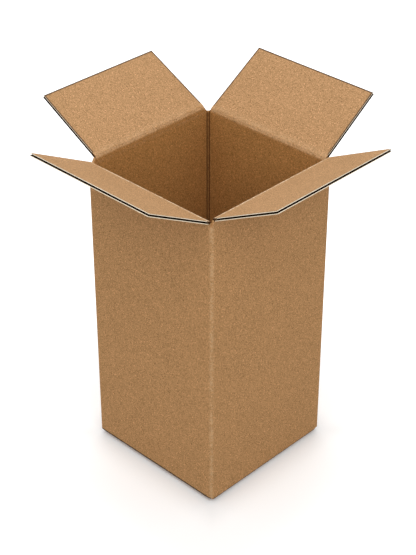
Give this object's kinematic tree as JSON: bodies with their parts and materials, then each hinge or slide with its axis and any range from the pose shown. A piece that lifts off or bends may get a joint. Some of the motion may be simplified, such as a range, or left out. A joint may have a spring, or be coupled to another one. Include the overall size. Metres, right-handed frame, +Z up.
{
  "type": "open cardboard box",
  "caption": "Tall square shipping box of corrugated cardboard, glued shut at the bottom, with its lid flaps folded open.",
  "frame": {"origin": "middle of the box's footprint, on the surface it stands on", "axes": "+Z up; -Y towards the front wall, which the picture shows on the left; +X towards the right wall"},
  "size_m": [0.3972, 0.3914, 0.4784],
  "materials": {
    "kraft_board": "matte"
  },
  "bodies": {
    "box": {"box_body": "kraft_board"},
    "flap_front": {"flap_front": "kraft_board"},
    "flap_right": {"flap_right": "kraft_board"},
    "flap_back": {"flap_back": "kraft_board"},
    "flap_left": {"flap_left": "kraft_board"}
  },
  "joints": [
    {"name": "flap_front_crease", "type": "hinge", "parent": "box", "child": "flap_front", "pos_m": [0, -0.1055, 0.418], "axis": [1, 0, 0], "range_deg": [-152, 108]},
    {"name": "flap_right_crease", "type": "hinge", "parent": "box", "child": "flap_right", "pos_m": [0.1055, 0, 0.4223], "axis": [0, 1, 0], "range_deg": [-153, 107]},
    {"name": "flap_back_crease", "type": "hinge", "parent": "box", "child": "flap_back", "pos_m": [0, 0.1055, 0.418], "axis": [-1, 0, 0], "range_deg": [-147, 113]},
    {"name": "flap_left_crease", "type": "hinge", "parent": "box", "child": "flap_left", "pos_m": [-0.1055, 0, 0.4223], "axis": [0, -1, 0], "range_deg": [-152.5, 107.5]}
  ]
}
